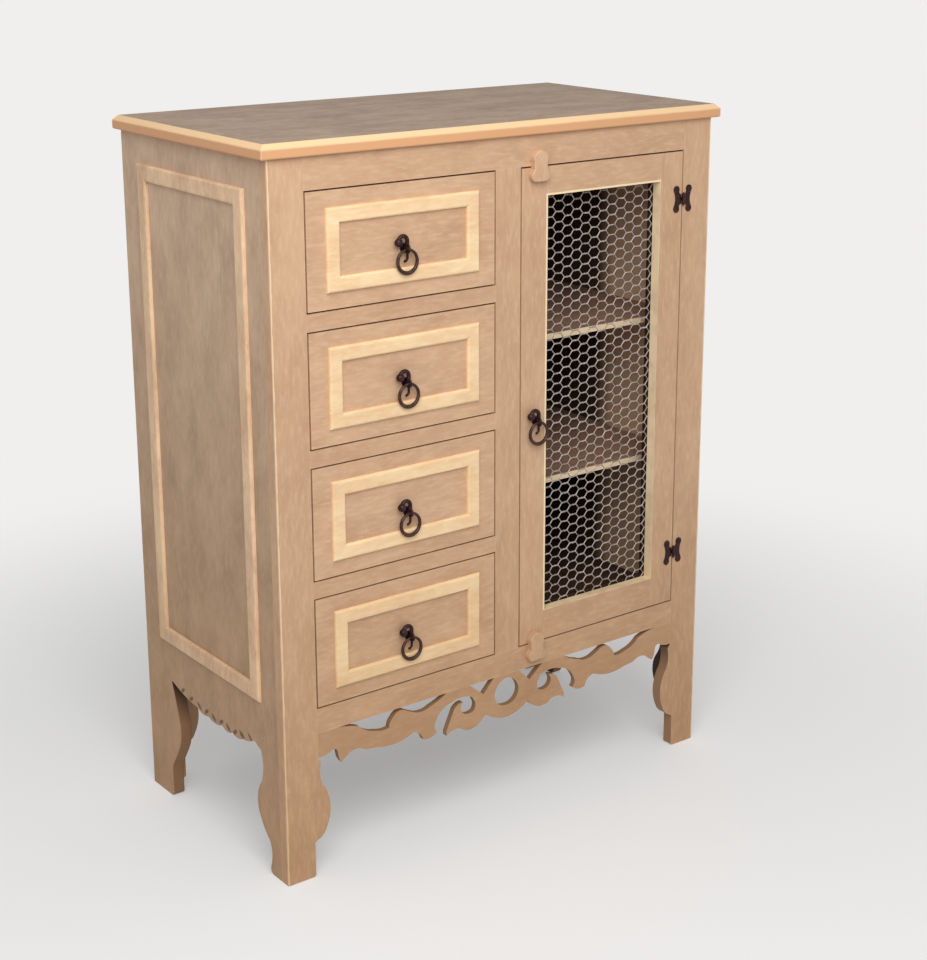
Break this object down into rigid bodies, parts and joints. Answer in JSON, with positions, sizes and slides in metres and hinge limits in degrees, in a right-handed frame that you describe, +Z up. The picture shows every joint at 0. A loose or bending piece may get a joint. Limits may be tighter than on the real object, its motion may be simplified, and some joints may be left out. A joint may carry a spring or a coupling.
{
  "type": "side cupboard",
  "caption": "Tall wooden side cupboard with a stack of drawers beside a wire-net door, raised mouldings, iron ring pulls, turn buttons, a pierced scrolled apron and shaped legs.",
  "frame": {"origin": "on the floor, below the centre of the bounding box", "axes": "+X to the right as the front is seen, +Y to the back, +Z up"},
  "size_m": [0.804, 0.4218, 1.05],
  "materials": {
    "painted_wood": "rubbed tan paint, satin",
    "moulding_wood": "pale rubbed paint, satin",
    "top_wood": "rubbed tan paint, satin",
    "inner_wood": "dark stain, matt",
    "iron": "dark brown, satin",
    "wire": "dull zinc"
  },
  "bodies": {
    "carcase": {"front_stile_left": "painted_wood", "front_stile_right": "painted_wood", "front_rail_top": "painted_wood", "front_rail_bottom": "painted_wood", "front_centre_stile": "painted_wood", "drawer_rail_1": "painted_wood", "drawer_rail_2": "painted_wood", "drawer_rail_3": "painted_wood", "front_fret": "painted_wood", "side_left": "painted_wood", "side_right": "painted_wood", "back_stile_left": "painted_wood", "back_stile_right": "painted_wood", "back_rail_bottom": "painted_wood", "top_board": "top_wood", "side_moulding_left": "moulding_wood", "side_moulding_right": "moulding_wood", "divider": "inner_wood", "bottom_board": "inner_wood", "back_panel": "inner_wood", "drawer_runners": "inner_wood", "shelf_1": "painted_wood", "shelf_2": "painted_wood", "hinge_leaves_frame": "iron", "turn_button_screws": "iron"},
    "drawer_1_body": {"drawer_1_front": "painted_wood", "drawer_1_moulding": "moulding_wood", "drawer_1_box": "inner_wood", "drawer_1_bottom": "inner_wood", "drawer_1_pull": "iron"},
    "drawer_1_ring_body": {"drawer_1_ring": "iron"},
    "drawer_2_body": {"drawer_2_front": "painted_wood", "drawer_2_moulding": "moulding_wood", "drawer_2_box": "inner_wood", "drawer_2_bottom": "inner_wood", "drawer_2_pull": "iron"},
    "drawer_2_ring_body": {"drawer_2_ring": "iron"},
    "drawer_3_body": {"drawer_3_front": "painted_wood", "drawer_3_moulding": "moulding_wood", "drawer_3_box": "inner_wood", "drawer_3_bottom": "inner_wood", "drawer_3_pull": "iron"},
    "drawer_3_ring_body": {"drawer_3_ring": "iron"},
    "drawer_4_body": {"drawer_4_front": "painted_wood", "drawer_4_moulding": "moulding_wood", "drawer_4_box": "inner_wood", "drawer_4_bottom": "inner_wood", "drawer_4_pull": "iron"},
    "drawer_4_ring_body": {"drawer_4_ring": "iron"},
    "door_body": {"door_stile_left": "painted_wood", "door_stile_right": "painted_wood", "door_rail_top": "painted_wood", "door_rail_bottom": "painted_wood", "door_mesh": "wire", "door_mesh_beads": "inner_wood", "door_hinge_leaves": "iron", "door_pull": "iron"},
    "door_ring_body": {"door_ring": "iron"},
    "turn_button_top_body": {"turn_button_top": "painted_wood"},
    "turn_button_bottom_body": {"turn_button_bottom": "painted_wood"}
  },
  "joints": [
    {"name": "drawer_1_slide", "type": "slide", "parent": "carcase", "child": "drawer_1_body", "axis": [0, -1, 0], "range_m": [0, 0.26]},
    {"name": "drawer_1_ring_swing", "type": "hinge", "parent": "drawer_1_body", "child": "drawer_1_ring_body", "pos_m": [-0.179, -0.2037, 0.8915], "axis": [-1, 0, 0], "range_deg": [0, 85]},
    {"name": "drawer_2_slide", "type": "slide", "parent": "carcase", "child": "drawer_2_body", "axis": [0, -1, 0], "range_m": [0, 0.26]},
    {"name": "drawer_2_ring_swing", "type": "hinge", "parent": "drawer_2_body", "child": "drawer_2_ring_body", "pos_m": [-0.179, -0.2037, 0.7035], "axis": [-1, 0, 0], "range_deg": [0, 85]},
    {"name": "drawer_3_slide", "type": "slide", "parent": "carcase", "child": "drawer_3_body", "axis": [0, -1, 0], "range_m": [0, 0.26]},
    {"name": "drawer_3_ring_swing", "type": "hinge", "parent": "drawer_3_body", "child": "drawer_3_ring_body", "pos_m": [-0.179, -0.2037, 0.5155], "axis": [-1, 0, 0], "range_deg": [0, 85]},
    {"name": "drawer_4_slide", "type": "slide", "parent": "carcase", "child": "drawer_4_body", "axis": [0, -1, 0], "range_m": [0, 0.26]},
    {"name": "drawer_4_ring_swing", "type": "hinge", "parent": "drawer_4_body", "child": "drawer_4_ring_body", "pos_m": [-0.179, -0.2037, 0.3275], "axis": [-1, 0, 0], "range_deg": [0, 85]},
    {"name": "door_hinge", "type": "hinge", "parent": "carcase", "child": "door_body", "pos_m": [0.33475, -0.1991, 0.6], "axis": [0, 0, 1], "range_deg": [0, 110]},
    {"name": "door_ring_swing", "type": "hinge", "parent": "door_body", "child": "door_ring_body", "pos_m": [0.052, -0.2037, 0.6075], "axis": [-1, 0, 0], "range_deg": [0, 85]},
    {"name": "turn_button_top_pivot", "type": "hinge", "parent": "carcase", "child": "turn_button_top_body", "pos_m": [0.052, -0.2015, 1], "axis": [0, -1, 0], "range_deg": [-90, 90]},
    {"name": "turn_button_bottom_pivot", "type": "hinge", "parent": "carcase", "child": "turn_button_bottom_body", "pos_m": [0.052, -0.2015, 0.241], "axis": [0, -1, 0], "range_deg": [-90, 90]}
  ]
}
